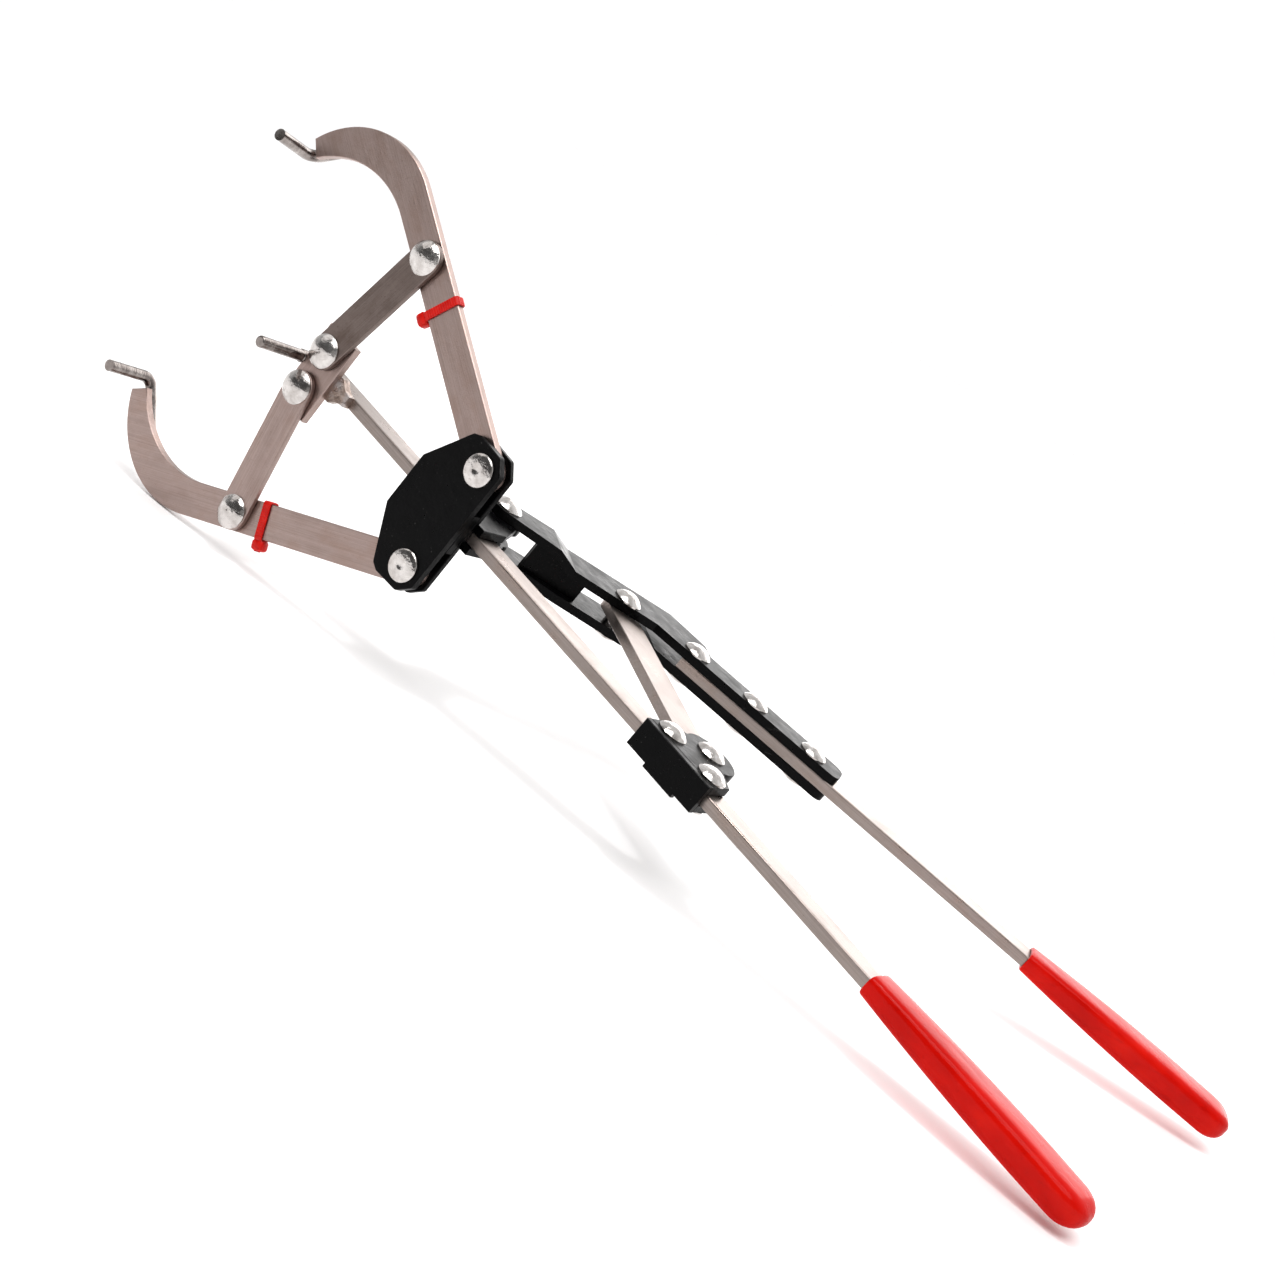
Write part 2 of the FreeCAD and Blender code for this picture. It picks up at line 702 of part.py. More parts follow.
def arm_plate(label, side):
    """Straight strip that curves inward into a hook."""
    half = "flat_width / 2"
    tip_in = "hook_in_x + sqrt(hook_inner^2 - (hook_tip_y - hook_in_y)^2)"
    outer_y = "%s - hook_outer" % half
    path = [
        ("0", "-" + half, "0", "0", 1),
        ("hook_in_x", "-" + half),
        (tip_in, "hook_tip_y", "hook_in_x", "hook_in_y", -1),
        ("hook_start + hook_outer", outer_y),
        ("hook_start", half, "hook_start", outer_y, 1),
        ("0", half),
    ]
    holes = [("0", "0", "shank + run_fit"), ("arm_centres", "0", "open_hole")]
    arm = plate(label, path, holes, "plate_thick")
    place(arm, arm_base(side), side_turns(side, "arm_angle"))


def arm_prong(label, side, lean, tilt):
    """Bent rod: a leg behind the arm, a bend and the standing prong."""
    body = new_body(label)
    section = new_sketch(body, "Section", "YZ_Plane")
    add_hole(section, "0", "0", "prong_radius")
    spine = new_sketch(body, "Spine", "XY_Plane", "0", (ALONG_X, tilt))
    turn = "(90 - %s)" % lean
    bend_x = "leg_length + leg_bend * sin(%s)" % turn
    bend_y = "leg_bend * (1 - cos(%s))" % turn
    rise = "(prong_top + leg_y_offset - (%s)) / sin(%s)" % (bend_y, turn)
    add_path(spine, [
        ("0", "0"),
        ("leg_length", "0"),
        (bend_x, bend_y, "leg_length", "leg_bend", 1),
        ("%s + (%s) * cos(%s)" % (bend_x, rise, turn), "%s + (%s) * sin(%s)" % (bend_y, rise, turn)),
    ], closed=False)
    rod = body.newObject("PartDesign::AdditivePipe", "Rod")
    rod.Profile = section
    rod.Spine = (spine, [])
    flat = new_sketch(body, "Flat", "XY_Plane")
    face = "leg_y_offset - plate_thick / 2"
    add_path(flat, box_path("-leg_bend", "leg_length + edge_break", face, "prong_radius * 2"))
    pocket(body, flat, "prong_radius * 4", True)
    node(body, label)
    x_text = "arm_pivot_x + cos(arm_angle) * leg_x - sin(arm_angle) * leg_y"
    z_text = "arm_pivot_z + sin(arm_angle) * leg_x + cos(arm_angle) * leg_y"
    base = (x_text, "-leg_y_offset", z_text if side > 0 else "-(%s)" % z_text)
    heading = "arm_angle + leg_angle"
    place(body, base, ((ALONG_Y, "-(%s)" % heading if side > 0 else heading),))


def cable_tie(label, side, tie_x, head_side):
    """Strap around the arm with its locking head and free end."""
    body = new_body(label)
    half_w = "flat_width / 2"
    half_t = "plate_thick / 2"
    ring = new_sketch(body, "Ring", "YZ_Plane")
    grown_w = half_w + " + tie_thick"
    grown_t = half_t + " + tie_thick"
    add_path(ring, box_path("-(%s)" % grown_w, grown_w, "-(%s)" % grown_t, grown_t))
    add_path(ring, box_path("-" + half_w, half_w, "-" + half_t, half_t))
    pad(body, ring, "tie_width", True)
    near = "%s + tie_thick * 0.5" % half_w
    far = "%s + tie_thick + tie_head * 0.6" % half_w
    block = new_sketch(body, "Head", "YZ_Plane")
    if head_side > 0:
        add_path(block, box_path(near, far, "-tie_head / 2", "tie_head / 2"))
    else:
        add_path(block, box_path("-(%s)" % far, "-(%s)" % near, "-tie_head / 2", "tie_head / 2"))
    pad(body, block, "tie_head", True)
    node(body, label)
    along = "cos(arm_angle) * " + tie_x
    across = "sin(arm_angle) * " + tie_x
    z_text = "arm_pivot_z + " + across
    base = ("arm_pivot_x + " + along, "0", z_text if side > 0 else "-(%s)" % z_text)
    place(body, base, side_turns(side, "arm_angle"))


def link(name, side):
    """Thin strip in front of the crossbar and the arm, with the slim rivet at its arm end."""
    holes = [("0", "0", "shank + run_fit"), ("link_centres", "0", "slim_shank")]
    path = stadium("link_centres", "flat_width / 2")
    middle = "plate_thick / 2 + run_gap + thin_plate / 2"
    z_text = "link_pivot_z" if side > 0 else "-link_pivot_z"
    strip = plate("link_" + name, path, holes, "thin_plate")
    place(strip, ("link_pivot_x", middle, z_text), side_turns(side, "link_angle"))
    pin = rivet_body("link_rivet_" + name, "slim_shank", "-(plate_thick / 2 + run_gap)",
                     "plate_thick / 2 + run_gap + thin_plate",
                     "big_head", "big_head", "flat_dome", "dome")
    x_text = "link_pivot_x + link_centres * cos(link_angle)"
    reach = "link_pivot_z + link_centres * sin(link_angle)"
    place(pin, (x_text, "0", reach if side > 0 else "-(%s)" % reach), UPRIGHT)
    node(pin, "link_rivet_" + name)


# ------------------------------------------------------------------ lever

LEVER_TURN = ((ALONG_Z, "lever_angle"),)
LEVER_BASE = ("lever_x", "lever_y", "0")
LEVER_RIVETS = 3


def strip_point(along, across):
    """Point of the slanted front strip in the lever's axes."""
    return (
        "(%s) * cos(strip_angle) - (%s) * sin(strip_angle)" % (along, across),
        "(%s) * sin(strip_angle) + (%s) * cos(strip_angle)" % (along, across),
    )


def lever_cheek(label, side, bend_a, bend_b):
    """Cheek: round pivot end, slanted strip with a sideways jog, narrow part on the bar."""
    body = new_body(label)
    low = "bar_thick / 2"
    tall = "(bar_thick / 2 + jog_height)"
    start = low if side > 0 else "-(%s + plate_thick)" % tall
    sketch = new_sketch(body, "Outline", "XY_Plane", start)
    left = strip_point("0", "strip_root")
    right = strip_point("0", "-strip_root")
    elbow = "(strip_inner + lever_bar_n * cos(strip_angle)) / sin(strip_angle)"
    end_x = "cheek_end - cheek_corner"
    add_path(sketch, [
        (right[0], right[1], "0", "0", 1),
        strip_point("jog_end", "-strip_inner"),
        (elbow, "lever_bar_n"),
        (end_x, "lever_bar_n"),
        ("cheek_end", "lever_bar_n + cheek_corner", end_x, "lever_bar_n + cheek_corner", 1),
        ("cheek_end", "cheek_outer_n - cheek_corner"),
        (end_x, "cheek_outer_n", end_x, "cheek_outer_n - cheek_corner", 1),
        ("cheek_step_x", "cheek_outer_n"),
        ("lever_rivet_x", "cheek_step_n"),
        ("cheek_hump_x", "cheek_hump_n"),
        strip_point("jog_end", "strip_outer"),
        left,
    ])
    add_hole(sketch, "0", "0", "shank + run_fit")
    add_hole(sketch, "toggle_x", "toggle_y", "shank")
    middle = "lever_bar_n + bar_deep / 2"
    for step in range(LEVER_RIVETS):
        add_hole(sketch, "lever_rivet_x + %d * lever_rivet_pitch" % step, middle, "shank")
    pad(body, sketch, "jog_height + plate_thick")
    sign = "%s" if side > 0 else "-(%s)"
    spin = (ALONG_Y, "strip_angle")
    outside = new_sketch(body, "Outside", "XZ_Plane", "0", spin)
    add_path(outside, [
        (bend_b, sign % (low + " + plate_thick")),
        ("cheek_end + plate_thick", sign % (low + " + plate_thick")),
        ("cheek_end + plate_thick", sign % (tall + " + 2 * plate_thick")),
        (bend_a, sign % (tall + " + 2 * plate_thick")),
        (bend_a, sign % (tall + " + plate_thick")),
    ])
    pocket(body, outside, "cheek_end * 2", True)
    inside = new_sketch(body, "Inside", "XZ_Plane", "0", spin)
    add_path(inside, [
        ("-cheek_end", "0"),
        (bend_b + " - jog_inset", "0"),
        (bend_b + " - jog_inset", sign % low),
        (bend_a + " - jog_inset", sign % tall),
        ("-cheek_end", sign % tall),
    ])
    pocket(body, inside, "cheek_end * 2", True)
    node(body, label)
    place(body, LEVER_BASE, LEVER_TURN)


def lever_web():
    """Thin plate across the gap between the cheeks, following the upper cheek's jog."""
    body = new_body("lever_web")
    low = "bar_thick / 2"
    tall = "(bar_thick / 2 + jog_height)"
    back = "(web_face - thin_plate)"
    shift = "%s * sin(strip_angle); 0; %s * cos(strip_angle)" % (back, back)
    side = new_sketch(body, "Side", "XZ_Plane", shift, (ALONG_Y, "strip_angle"))
    add_path(side, [
        ("web_start", "-" + tall),
        ("web_end", "-" + tall),
        ("web_end", low),
        ("jog_end - jog_inset", low),
        ("jog_start - jog_inset", tall),
        ("web_start", tall),
    ])
    pad(body, side, "thin_plate")
    node(body, "lever_web")
    place(body, LEVER_BASE, LEVER_TURN)


def lever_bar():
    holes = ["lever_rivet_x + %d * lever_rivet_pitch" % step for step in range(LEVER_RIVETS)]
    bar = bar_body("lever_bar", ("lever_bar_start", "lever_bar_end"),
                   ("lever_bar_n", "lever_bar_n + bar_deep"), holes)
    place(bar, LEVER_BASE, LEVER_TURN)


def on_lever(x_text, y_text):
    """Point given in the lever's axes as a placement base."""
    return (
        "lever_x + cos(lever_angle) * (%s) - sin(lever_angle) * (%s)" % (x_text, y_text),
        "lever_y + sin(lever_angle) * (%s) + cos(lever_angle) * (%s)" % (x_text, y_text),
        "0",
    )


def lever_rivets():
    row = []
    outer = "bar_thick / 2 + plate_thick"
    for step in range(LEVER_RIVETS):
        body = rivet_body("LeverRivet", "shank", "-(%s)" % outer, outer,
                          "small_head", "small_head", "flat_dome", "dome")
        x_text = "lever_rivet_x + %d * lever_rivet_pitch" % step
        place(body, on_lever(x_text, "lever_bar_n + bar_deep / 2"), STILL)
        row.append(body)
    rivet_group("lever_rivets", row)


def toggle_bar():
    path = stadium("toggle_centres", "toggle_width / 2")
    holes = [("0", "0", "shank + run_fit"), ("toggle_centres", "0", "toggle_hole")]
    bar = plate("toggle_bar", path, holes, "toggle_thick")
    place(bar, on_lever("toggle_x", "toggle_y"), ((ALONG_Z, "toggle_angle"),))


# ------------------------------------------------------------------ grips

GRIP_STATIONS = (
    # share of the length, share of the swell, share of the end rounding that is left
    (0.0, 0.0, 1.0),
    (0.25, 0.42, 1.0),
    (0.55, 0.85, 1.0),
    (0.82, 1.0, 1.0),
    (0.93, 0.97, 0.93),
    (0.98, 0.9, 0.72),
    (1.0, 0.85, 0.36),
)


def grip(label, bar_inset):
    """Dipped sleeve: swells from the open end to a rounded closed end."""
    body = new_body(label)
    middle = "bar_deep / 2 + grip_rear_swell / 2 * %s - grip_front_swell / 2 * %s"
    sketches = []
    for place_share, swell, left in GRIP_STATIONS:
        sketch = new_sketch(body, "Station", "YZ_Plane", "grip_length * %s" % place_share)
        centre = middle % (swell, swell)
        deep = "(bar_deep / 2 + grip_wall + (grip_front_swell + grip_rear_swell) / 2 * %s) * %s"
        deep = deep % (swell, left)
        half = "(grip_half_open + (grip_half_full - grip_half_open) * %s) * %s" % (swell, left)
        corner_r = "grip_round * %s" % left
        y_low, y_high = "%s - %s" % (centre, deep), "%s + %s" % (centre, deep)
        z_in = "(%s - %s)" % (half, corner_r)
        left_x = "%s + %s" % (y_low, corner_r)
        right_x = "%s - %s" % (y_high, corner_r)
        add_path(sketch, [
            (left_x, "-" + half, left_x, "-" + z_in, 1),
            (right_x, "-" + half),
            (y_high, "-" + z_in, right_x, "-" + z_in, 1),
            (y_high, z_in),
            (right_x, half, right_x, z_in, 1),
            (left_x, half),
            (y_low, z_in, left_x, z_in, 1),
            (y_low, "-" + z_in),
        ])
        sketches.append(sketch)
    loft = body.newObject("PartDesign::AdditiveLoft", "Loft")
    loft.Profile = sketches[0]
    loft.Sections = sketches[1:]
    slot = new_sketch(body, "Slot", "YZ_Plane")
    add_path(slot, box_path("0", "bar_deep", "-bar_thick / 2", "bar_thick / 2"))
    pocket(body, slot, bar_inset, backward=True)
    return node(body, label)


def main_grip():
    sleeve_body = grip("main_grip", "main_grip_x - bar_tail_x")
    place(sleeve_body, ("main_grip_x", "bar_face_y", "0"), ((ALONG_Z, "180"),))


def lever_grip():
    sleeve_body = grip("lever_grip", "lever_bar_end - lever_grip_x")
    place(sleeve_body, on_lever("lever_grip_x", "lever_bar_n"), LEVER_TURN)


def build():
    main_bar()
    crossbar()
    centre_prong()
    nose_weld()
    crossbar_rivets()
    clamp_cheeks()
    clamp_front_plate()
    clamp_rivets()
    side_rivet("toggle_rear_rivet", ("clamp_x", "clamp_y", "0"), "0")
    main_grip()
    bracket_plates()
    bracket_spacer()
    sleeve()
    arm_pivot_rivets()
    lever_pivot_rivet()
    for name, side in (("left", 1), ("right", -1)):
        arm_plate("arm_" + name, side)
        link(name, side)
    arm_prong("prong_left", 1, "left_lean", "left_tilt")
    arm_prong("prong_right", -1, "0", "0")
    cable_tie("tie_left", 1, "left_tie_x", -1)
    cable_tie("tie_right", -1, "right_tie_x", 1)
    lever_bar()
    lever_cheek("lever_cheek_upper", 1, "jog_start", "jog_end")
    lever_cheek("lever_cheek_lower", -1, "low_jog_start", "low_jog_end")
    lever_web()
    lever_rivets()
    side_rivet("toggle_front_rivet", on_lever("toggle_x", "toggle_y"), "jog_height")
    lever_grip()
    toggle_bar()


def check():
    """Stop before writing when anything failed or came out empty."""
    doc.recompute()
    for thing in doc.Objects:
        if "Invalid" in thing.State or "Error" in thing.State:
            raise RuntimeError("%s failed: %s" % (thing.Label, thing.State))
    for thing in nodes:
        if thing.Shape.isNull() or not thing.Shape.isValid():
            raise RuntimeError("bad shape: " + thing.Label)


def write():
    os.makedirs("parts", exist_ok=True)
    for thing in nodes:
        thing.Shape.exportStep(os.path.join("parts", thing.Label + ".step"))


build()
check()
write()
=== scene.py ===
import bpy
import math
from mathutils import Matrix, Vector

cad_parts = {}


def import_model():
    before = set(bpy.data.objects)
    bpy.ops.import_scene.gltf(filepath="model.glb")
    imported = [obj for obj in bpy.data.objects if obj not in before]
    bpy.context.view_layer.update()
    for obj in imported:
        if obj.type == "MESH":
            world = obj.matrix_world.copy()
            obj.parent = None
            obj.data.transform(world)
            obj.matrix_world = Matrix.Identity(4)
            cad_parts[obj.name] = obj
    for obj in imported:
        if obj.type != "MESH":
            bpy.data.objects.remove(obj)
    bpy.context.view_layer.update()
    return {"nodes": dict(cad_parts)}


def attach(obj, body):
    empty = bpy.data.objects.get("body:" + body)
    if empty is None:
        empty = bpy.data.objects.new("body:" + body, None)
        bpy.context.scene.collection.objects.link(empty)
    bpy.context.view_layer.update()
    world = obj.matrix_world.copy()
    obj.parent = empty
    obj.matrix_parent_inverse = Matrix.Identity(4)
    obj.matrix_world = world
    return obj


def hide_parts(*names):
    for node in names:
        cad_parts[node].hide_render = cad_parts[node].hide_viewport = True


# Livestock band spreader on a pale floor.  Metres; X toward the tip, Y the way the prongs stand.

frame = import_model()
MM = 0.001

# ------------------------------------------------------------------ places taken from the frame

LEVER_PIVOT = Vector((-0.126, -0.046, 0))
LEVER_ANGLE = 203.44
TOGGLE_ANGLE = LEVER_ANGLE + 150.05
ARM_ANGLE = 27.08
LINK_ANGLE = 101.6
ARM_PIVOT = (-0.1325, 0.031)
ARM_WIDTH = 19.05 * MM
ARM_THICK = 4.76 * MM
BAR_THICK = 6.35 * MM
BAR_DEEP = 15.88 * MM
BAR_FACE = -6.1 * MM
RUN_GAP = 0.25 * MM
THIN_PLATE = 3.2 * MM
RIVET_SHANK = 3.95 * MM

# ------------------------------------------------------------------ camera

CAMERA_PLACE = (-0.71502, 0.91862, 0.31422)
CAMERA_TURN = (70.217, -38.401, -140.737)
LENS = 64.38
SENSOR = 36
VIEW_LIMIT = 50


def camera():
    data = bpy.data.cameras.new("Camera")
    data.lens = LENS
    data.sensor_width = SENSOR
    data.clip_end = VIEW_LIMIT
    eye = bpy.data.objects.new("Camera", data)
    eye.location = CAMERA_PLACE
    eye.rotation_euler = [math.radians(angle) for angle in CAMERA_TURN]
    bpy.context.collection.objects.link(eye)
    bpy.context.scene.camera = eye


# ------------------------------------------------------------------ light and floor

CENTRE = Vector((-0.27, -0.06, 0))
# the tool rests on its lower arm and on the ends of the two grips
FLOOR_POINT = (0.028, 0, -0.1180)
FLOOR_TILT = 10.0
FLOOR_HALF = 12
WHITE = (1, 1, 1, 1)
BACKDROP_POWER = 1.05
# reflected room: share of the way from behind the tool to in front of it, and brightness
ROOM_STOPS = ((0.30, 0.95), (0.80, 0.10))
LIGHTS = (
    # name, place, size, power, colour
    ("back_softbox", (0.10, -1.5, 0.48), 1.5, 16, (1.0, 0.98, 0.97)),
    ("top_softbox", (0.17, 0.35, 1.36), 0.15, 5, (1.0, 1.0, 1.0)),
    ("side_softbox", (1.4, 0.7, 0.9), 1.0, 2.5, (1.0, 0.97, 0.95)),
    ("front_fill", (-1.4, 1.5, 0.5), 1.4, 1.5, (1.0, 0.97, 0.95)),
)
# wide even light from overhead, so that the floor stays white to the horizon
SUN_POWER = 1.85
SUN_SPREAD = 50
SUN_TURN = (-24, 8, 0)


def lights():
    for name, place, size, power, colour in LIGHTS:
        data = bpy.data.lights.new(name, "AREA")
        data.shape = "SQUARE"
        data.size = size
        data.energy = power
        data.color = colour
        lamp = bpy.data.objects.new(name, data)
        lamp.location = place
        lamp.rotation_euler = (CENTRE - Vector(place)).to_track_quat("-Z", "Y").to_euler()
        bpy.context.collection.objects.link(lamp)
    data = bpy.data.lights.new("sky_panel", "SUN")
    data.energy = SUN_POWER
    data.angle = math.radians(SUN_SPREAD)
    panel = bpy.data.objects.new("sky_panel", data)
    panel.rotation_euler = [math.radians(angle) for angle in SUN_TURN]
    bpy.context.collection.objects.link(panel)


def world():
    """White seen directly; for reflections bright behind the tool and dim toward the front."""
    sky = bpy.data.worlds.new("Studio")
    sky.use_nodes = True
    bpy.context.scene.world = sky
    nodes = sky.node_tree.nodes
    link = sky.node_tree.links.new
    plain = nodes["Background"]
    plain.inputs["Color"].default_value = WHITE
    plain.inputs["Strength"].default_value = BACKDROP_POWER
    room = nodes.new("ShaderNodeBackground")
    coords = nodes.new("ShaderNodeTexCoord")
    parts = nodes.new("ShaderNodeSeparateXYZ")
    ramp = nodes.new("ShaderNodeValToRGB")
    for element, (position, bright) in zip(ramp.color_ramp.elements, ROOM_STOPS):
        element.position = position
        element.color = (bright, bright, bright, 1)
    shift = nodes.new("ShaderNodeMapRange")
    shift.inputs["From Min"].default_value = -1
    path = nodes.new("ShaderNodeLightPath")
    mix = nodes.new("ShaderNodeMixShader")
    link(coords.outputs["Generated"], parts.inputs["Vector"])
    link(parts.outputs["Y"], shift.inputs["Value"])
    link(shift.outputs["Result"], ramp.inputs["Fac"])
    link(ramp.outputs["Color"], room.inputs["Color"])
    link(path.outputs["Is Camera Ray"], mix.inputs["Fac"])
    link(room.outputs["Background"], mix.inputs[1])
    link(plain.outputs["Background"], mix.inputs[2])
    link(mix.outputs["Shader"], nodes["World Output"].inputs["Surface"])


def floor():
    half = FLOOR_HALF
    corners = [(-half, -half, 0), (half, -half, 0), (half, half, 0), (-half, half, 0)]
    mesh = bpy.data.meshes.new("floor")
    mesh.from_pydata(corners, [], [(0, 1, 2, 3)])
    ground = bpy.data.objects.new("floor", mesh)
    ground.location = FLOOR_POINT
    ground.rotation_euler = (0, math.radians(FLOOR_TILT), 0)
    bpy.context.collection.objects.link(ground)
    mesh.materials.append(floor_material())


# ------------------------------------------------------------------ material helpers

class Paint:
    """A node material under construction."""

    def __init__(self, name, metallic, roughness):
        self.material = bpy.data.materials.new(name)
        self.material.use_nodes = True
        self.nodes = self.material.node_tree.nodes
        self.link = self.material.node_tree.links.new
        self.shader = self.nodes["Principled BSDF"]
        self.shader.inputs["Metallic"].default_value = metallic
        self.shader.inputs["Roughness"].default_value = roughness
        self.coords = self.nodes.new("ShaderNodeTexCoord")

    def noise(self, grain, turn=(0, 0, 0), detail=4.0, rough=0.55):
        """Noise whose features measure grain = (x, y, z) metres in axes turned by turn degrees."""
        mapping = self.nodes.new("ShaderNodeMapping")
        mapping.vector_type = "TEXTURE"
        mapping.inputs["Scale"].default_value = grain
        mapping.inputs["Rotation"].default_value = [math.radians(angle) for angle in turn]
        noise = self.nodes.new("ShaderNodeTexNoise")
        noise.inputs["Scale"].default_value = 1
        noise.inputs["Detail"].default_value = detail
        noise.inputs["Roughness"].default_value = rough
        self.link(self.coords.outputs["Object"], mapping.inputs["Vector"])
        self.link(mapping.outputs["Vector"], noise.inputs["Vector"])
        return noise.outputs["Fac"]

    def ramp(self, source, stops):
        """Colour ramp through (position, colour) stops."""
        ramp = self.nodes.new("ShaderNodeValToRGB")
        elements = ramp.color_ramp.elements
        while len(elements) < len(stops):
            elements.new(0.5)
        for element, (position, colour) in zip(elements, stops):
            element.position = position
            element.color = (*colour, 1)
        self.link(source, ramp.inputs["Fac"])
        return ramp.outputs["Color"]

    def span(self, source, low, high, start=0.3, end=0.7):
        """Number from low to high as the source goes from start to end."""
        span = self.nodes.new("ShaderNodeMapRange")
        for socket, number in (("From Min", start), ("From Max", end), ("To Min", low), ("To Max", high)):
            span.inputs[socket].default_value = number
        self.link(source, span.inputs["Value"])
        return span.outputs["Result"]

    def blend(self, factor, first, second, kind="MIX"):
        mix = self.nodes.new("ShaderNodeMix")
        mix.data_type = "RGBA"
        mix.blend_type = kind
        if isinstance(factor, (int, float)):
            mix.inputs["Factor"].default_value = factor
        else:
            self.link(factor, mix.inputs["Factor"])
        self.link(first, mix.inputs[6])
        self.link(second, mix.inputs[7])
        return mix.outputs[2]

    def bump(self, source, depth, onto=None):
        """Relief of the given depth in metres."""
        bump = self.nodes.new("ShaderNodeBump")
        bump.inputs["Distance"].default_value = depth
        self.link(source, bump.inputs["Height"])
        if onto is not None:
            self.link(onto, bump.inputs["Normal"])
        return bump.outputs["Normal"]

    def wire(self, source, socket):
        self.link(source, self.shader.inputs[socket])


def tone(colour, factor):
    return tuple(min(1, channel * factor) for channel in colour)


# ------------------------------------------------------------------ materials

def floor_material():
    paint = Paint("pale_floor", 0, 0.6)
    cloud = paint.noise((0.5, 0.5, 0.5))
    paint.wire(paint.ramp(cloud, ((0.3, (0.93, 0.92, 0.92)), (0.7, (0.95, 0.945, 0.945)))), "Base Color")
    return paint.material


def brushed_steel(name, colour, roughness, turn, mottle):
    """Rolled strip: fine lines along the length, broad stains, small pits and scratches."""
    paint = Paint(name, 1, roughness)
    lines = paint.noise((0.060, 0.0005, 0.0005), turn, 6, 0.6)
    stains = paint.noise((0.022, 0.012, 0.012), turn, 5, 0.6)
    pits = paint.noise((0.0011, 0.0011, 0.0011), turn, 3, 0.7)
    nicks = paint.noise((0.009, 0.0007, 0.0016), (turn[0] + 25, turn[1] + 18, turn[2] + 12), 2, 0.5)
    streaks = paint.ramp(lines, ((0.25, tone(colour, 0.80)), (0.5, colour), (0.75, tone(colour, 1.18))))
    patches = paint.ramp(stains, (
        (0.30, tone((1.0, 0.93, 0.88), 1 - mottle)),
        (0.52, (1, 1, 1)),
        (0.75, tone((1.0, 0.97, 0.95), 1 - mottle * 0.4)),
    ))
    base = paint.blend(0.9, streaks, patches, "MULTIPLY")
    specks = paint.ramp(pits, ((0.28, (0.42, 0.36, 0.33)), (0.38, (1, 1, 1))))
    base = paint.blend(0.35 + mottle * 0.6, base, specks, "MULTIPLY")
    paint.wire(base, "Base Color")
    paint.wire(paint.span(stains, roughness - 0.06, roughness + 0.12), "Roughness")
    relief = paint.bump(lines, 0.00006)
    relief = paint.bump(pits, 0.00005 + 0.0001 * mottle, relief)
    paint.wire(paint.bump(nicks, 0.00004, relief), "Normal")
    return paint.material


def polished_steel():
    """Pressed rivet heads: bright, with smears and fine scuffs."""
    paint = Paint("rivet_steel", 1, 0.13)
    smears = paint.noise((0.006, 0.006, 0.006), (0, 0, 0), 4, 0.6)
    dents = paint.noise((0.0022, 0.0022, 0.0022), (0, 0, 0), 2, 0.5)
    scuffs = paint.noise((0.004, 0.0004, 0.0009), (20, 35, 15), 3, 0.6)
    tint = paint.ramp(smears, ((0.3, (0.42, 0.39, 0.37)), (0.6, (0.68, 0.65, 0.63))))
    marks = paint.ramp(scuffs, ((0.30, (0.62, 0.58, 0.55)), (0.42, (1, 1, 1))))
    paint.wire(paint.blend(0.6, tint, marks, "MULTIPLY"), "Base Color")
    paint.wire(paint.span(smears, 0.10, 0.24), "Roughness")
    relief = paint.bump(dents, 0.00022)
    paint.wire(paint.bump(scuffs, 0.00004, relief), "Normal")
    return paint.material


def rod_steel():
    """Hard-drawn rod, dark and shiny, with heat tint and pulling marks."""
    paint = Paint("prong_steel", 1, 0.24)
    tint = paint.noise((0.012, 0.008, 0.012), (0, 0, 0), 4, 0.6)
    rings = paint.noise((0.004, 0.0011, 0.004), (0, 0, 0), 3, 0.5)
    colour = paint.ramp(tint, (
        (0.30, (0.10, 0.08, 0.075)),
        (0.50, (0.26, 0.23, 0.215)),
        (0.72, (0.50, 0.46, 0.44)),
    ))
    paint.wire(colour, "Base Color")
    paint.wire(paint.span(tint, 0.16, 0.34), "Roughness")
    paint.wire(paint.bump(rings, 0.0002), "Normal")
    return paint.material


def weld_steel():
    """Ground weld metal: lumpy, with brown and blue heat stain."""
    paint = Paint("weld_steel", 1, 0.34)
    lumps = paint.noise((0.0035, 0.0035, 0.0035), (0, 0, 0), 4, 0.6)
    stain = paint.noise((0.010, 0.010, 0.006), (0, 0, 0), 3, 0.5)
    colour = paint.ramp(stain, (
        (0.30, (0.16, 0.11, 0.085)),
        (0.50, (0.34, 0.27, 0.235)),
        (0.70, (0.42, 0.40, 0.40)),
    ))
    paint.wire(colour, "Base Color")
    paint.wire(paint.span(lumps, 0.22, 0.48), "Roughness")
    paint.wire(paint.bump(lumps, 0.0007), "Normal")
    return paint.material


def black_coat():
    """Dipped black finish: semi-gloss, orange peel, dusty scuffs."""
    paint = Paint("black_paint", 0, 0.30)
    paint.shader.inputs["Specular IOR Level"].default_value = 0.07
    peel = paint.noise((0.0016, 0.0016, 0.0016), (0, 0, 0), 2, 0.5)
    waves = paint.noise((0.009, 0.009, 0.009), (0, 0, 0), 3, 0.5)
    scuffs = paint.noise((0.010, 0.0006, 0.0016), (15, 28, 24), 4, 0.65)
    dust = paint.noise((0.0009, 0.0009, 0.0009), (0, 0, 0), 3, 0.7)
    base = paint.ramp(waves, ((0.3, (0.0008, 0.0008, 0.0009)), (0.7, (0.0022, 0.0022, 0.0024))))
    marks = paint.ramp(scuffs, ((0.66, (0, 0, 0)), (0.74, (0.045, 0.043, 0.042))))
    base = paint.blend(1.0, base, marks, "ADD")
    motes = paint.ramp(dust, ((0.72, (0, 0, 0)), (0.80, (0.06, 0.058, 0.056))))
    paint.wire(paint.blend(0.5, base, motes, "ADD"), "Base Color")
    paint.wire(paint.span(waves, 0.24, 0.40), "Roughness")
    relief = paint.bump(waves, 0.0004)
    paint.wire(paint.bump(peel, 0.00007, relief), "Normal")
    return paint.material


